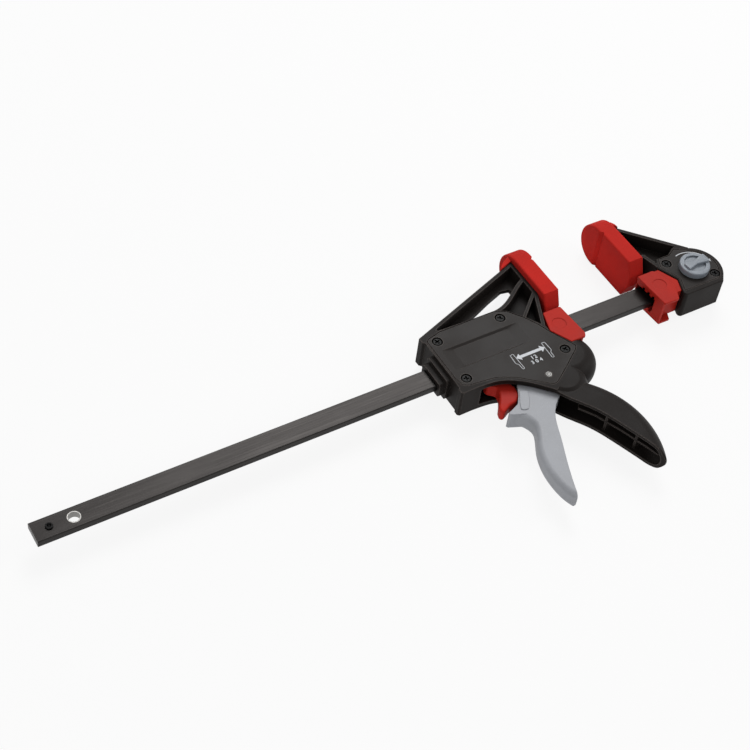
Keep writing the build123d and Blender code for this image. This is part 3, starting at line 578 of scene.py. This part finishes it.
def print_number(name, text, size, spacing, body, material, x0, y0):
    """Plain number printed on the cover, its foot centred on a place in millimetres."""
    boldness = 0.09
    curve = bpy.data.curves.new(name, "FONT")
    curve.body = text
    curve.size = size * MM
    curve.align_x = "CENTER"
    curve.space_character = spacing
    curve.resolution_u = 4
    curve.offset = boldness * MM
    source = bpy.data.objects.new(name + "_outline", curve)
    bpy.context.scene.collection.objects.link(source)
    bpy.context.view_layer.update()
    mesh = bpy.data.meshes.new_from_object(source)
    bpy.data.objects.remove(source)
    mesh.transform(Matrix.Translation((x0 * MM, y0 * MM, PRINT_LEVEL)))
    lay_print(name, mesh, body, material)


def box_loop(x0, x1, y0, y1):
    """Rectangle as a loop."""
    return [(x0, y0), (x1, y0), (x1, y1), (x0, y1)]


def arc_bands(radius, width, start, finish, steps):
    """Quadrilaterals that follow an arc: the radius is kept and the angle shared evenly."""
    angles = np.radians(np.linspace(start, finish, steps + 1))
    spokes = np.stack([np.cos(angles), np.sin(angles)], 1)
    inner = spokes * (radius - width / 2)
    outer = spokes * (radius + width / 2)
    return np.stack([inner[:-1], outer[:-1], outer[1:], inner[1:]], 1)


def outline_strokes(points, width):
    """Thin line round a closed run of points: one quadrilateral for each straight piece.

    Each reaches half its width past both of its points and to both sides of its line.
    """
    run = np.asarray(points, float)
    ahead = np.roll(run, -1, 0)
    along = ahead - run
    along = along / np.linalg.norm(along, axis=1)[:, None]
    across = np.stack([-along[:, 1], along[:, 0]], 1) * (width / 2)
    run = run - along * (width / 2)
    ahead = ahead + along * (width / 2)
    return np.stack([run - across, ahead - across, ahead + across, run + across], 1)


def size_marks(white):
    """Double arrow between two jaw outlines, over the plain numbers of the opening's size."""
    middle, arrow_y, line_width = 307.2, -15.8, 0.36
    tip, neck, wing, half = 11.1, 7.8, 2.8, 1.1
    arrow = [
        box_loop(-neck, neck, -half, half),
        [(-neck, -wing), (-neck, wing), (-tip, 0)],
        [(neck, wing), (neck, -wing), (tip, 0)],
    ]
    print_shape("size_arrow", arrow, "slider", white, middle, arrow_y)
    jaw = np.array([(11.1, -11.8), (13.4, -12.1), (13.8, -19.4), (12.4, -20.9), (12.2, -25.2),
                    (10.7, -25.2)])
    for name, side in (("left", -1), ("right", 1)):
        outline = outline_strokes((jaw * (side, 1))[::side], line_width)
        print_shape("jaw_mark_" + name, outline, "slider", white, middle, 0.0)
    print_number("size_small", "12", 4.0, 1.25, "slider", white, middle, -21.0)
    print_number("size_large", "304", 3.8, 1.7, "slider", white, middle, -24.6)


def turn_mark(white):
    """Arrow that curves round the lock knob, in the way that the knob turns to lock."""
    radius, width, start, finish = 15.3, 0.6, 106.0, 9.0
    head_half, head_length = 1.2, 2.2
    shapes = list(arc_bands(radius, width, finish, start, 28))
    end = math.radians(finish)
    out = np.array([math.cos(end), math.sin(end)])
    back = np.array([-math.sin(end), math.cos(end)])
    shapes.append([out * (radius - head_half), out * radius - back * head_length,
                   out * (radius + head_half)])
    print_shape("turn_arrow", shapes, "frame", white, KNOB_AXIS[0] / MM, 0.0)


def printed_marks():
    """Opening-size marks of the moving body and the turn arrow of the lock knob."""
    white = ink("white_ink", PRINT_WHITE)
    size_marks(white)
    turn_mark(white)


# ---- floor, light and camera ----

def seen_directly(graph):
    """1 on rays from the camera, in reflections and through glass, and 0 on other rays."""
    path = graph.add("ShaderNodeLightPath")
    seen = graph.math("MAXIMUM", path.outputs["Is Camera Ray"], path.outputs["Is Glossy Ray"])
    return graph.math("MAXIMUM", seen, path.outputs["Is Transmission Ray"])


def plain_white(name, strength, keep):
    """Pale surface that reads white to the camera and in reflections and keeps soft shadows."""
    material, graph, sockets = new_material(name, specular=0.1)
    sockets["Base Color"].default_value = (0.86, 0.86, 0.86, 1)
    sockets["Roughness"].default_value = 0.9
    glow = graph.add("ShaderNodeEmission")
    glow.inputs["Strength"].default_value = strength
    mix = graph.add("ShaderNodeMixShader")
    graph.feed(mix.inputs["Fac"], graph.math("MULTIPLY", seen_directly(graph), keep))
    graph.feed(mix.inputs[1], graph.find("BSDF_PRINCIPLED").outputs["BSDF"])
    graph.feed(mix.inputs[2], glow.outputs["Emission"])
    graph.feed(graph.find("OUTPUT_MATERIAL").inputs["Surface"], mix.outputs["Shader"])
    return material


def lay_floor():
    """Wide pale floor just under the lowest point."""
    level = cad_low[2] - 0.0002
    reach = 6.0
    corners = [(-reach, -reach, level), (reach, -reach, level), (reach, reach, level),
               (-reach, reach, level)]
    mesh = bpy.data.meshes.new("floor")
    mesh.from_pydata(corners, [], [(0, 1, 2, 3)])
    mesh.materials.append(plain_white("floor_white", 1.0, 0.88))
    floor = bpy.data.objects.new("floor", mesh)
    bpy.context.scene.collection.objects.link(floor)


def soft_lamp(name, place, target, size, power):
    """Large square lamp that looks at a point."""
    data = bpy.data.lights.new(name, "AREA")
    data.size = size
    data.energy = power
    lamp = bpy.data.objects.new(name, data)
    lamp.location = place
    lamp.rotation_euler = (Vector(target) - Vector(place)).to_track_quat("-Z", "Y").to_euler()
    bpy.context.scene.collection.objects.link(lamp)


def light_scene():
    """White surroundings and three soft lamps."""
    world_light, world_seen = 0.26, 1.0
    world = bpy.data.worlds.new("studio")
    bpy.context.scene.world = world
    world.use_nodes = True
    graph = Graph(world.node_tree)
    back = graph.find("BACKGROUND")
    back.inputs["Color"].default_value = (1, 1, 1, 1)
    strength = graph.ramp(seen_directly(graph), 0.0, 1.0, world_light, world_seen)
    graph.feed(back.inputs["Strength"], strength)
    middle = (0.25, 0.0, 0.0)
    soft_lamp("lamp_high", (0.90, 1.0, 1.5), middle, size=1.0, power=20.0)
    soft_lamp("lamp_front", (-0.9, -1.0, 0.9), middle, size=1.0, power=7.0)
    soft_lamp("lamp_side", (1.4, -0.5, 0.8), middle, size=0.9, power=5.0)


def set_camera():
    """Camera of a 76 mm lens that looks down along the bar from its free end."""
    place = (-0.1781, -0.5188, 0.7592)
    lens, sensor = 76.214, 36.0
    heading = math.radians(54.002)
    height = math.radians(48.773)
    roll = math.radians(7.752)
    ahead = np.array([
        math.cos(heading) * math.cos(height),
        math.sin(heading) * math.cos(height),
        -math.sin(height),
    ])
    side = np.array([math.sin(heading), -math.cos(heading), 0.0])
    above = np.cross(side, ahead)
    right = math.cos(roll) * side + math.sin(roll) * above
    up = -math.sin(roll) * side + math.cos(roll) * above
    data = bpy.data.cameras.new("camera")
    data.sensor_width = sensor
    data.lens = lens
    data.clip_start = 0.01
    data.clip_end = 20.0
    camera = bpy.data.objects.new("camera", data)
    turn = Matrix((right, up, -ahead)).transposed().to_4x4()
    camera.matrix_world = Matrix.Translation(place) @ turn
    bpy.context.scene.collection.objects.link(camera)
    bpy.context.scene.camera = camera


dress_nodes()
springs_that_move()
printed_marks()
lay_floor()
light_scene()
set_camera()
bpy.context.scene.view_settings.view_transform = "Standard"
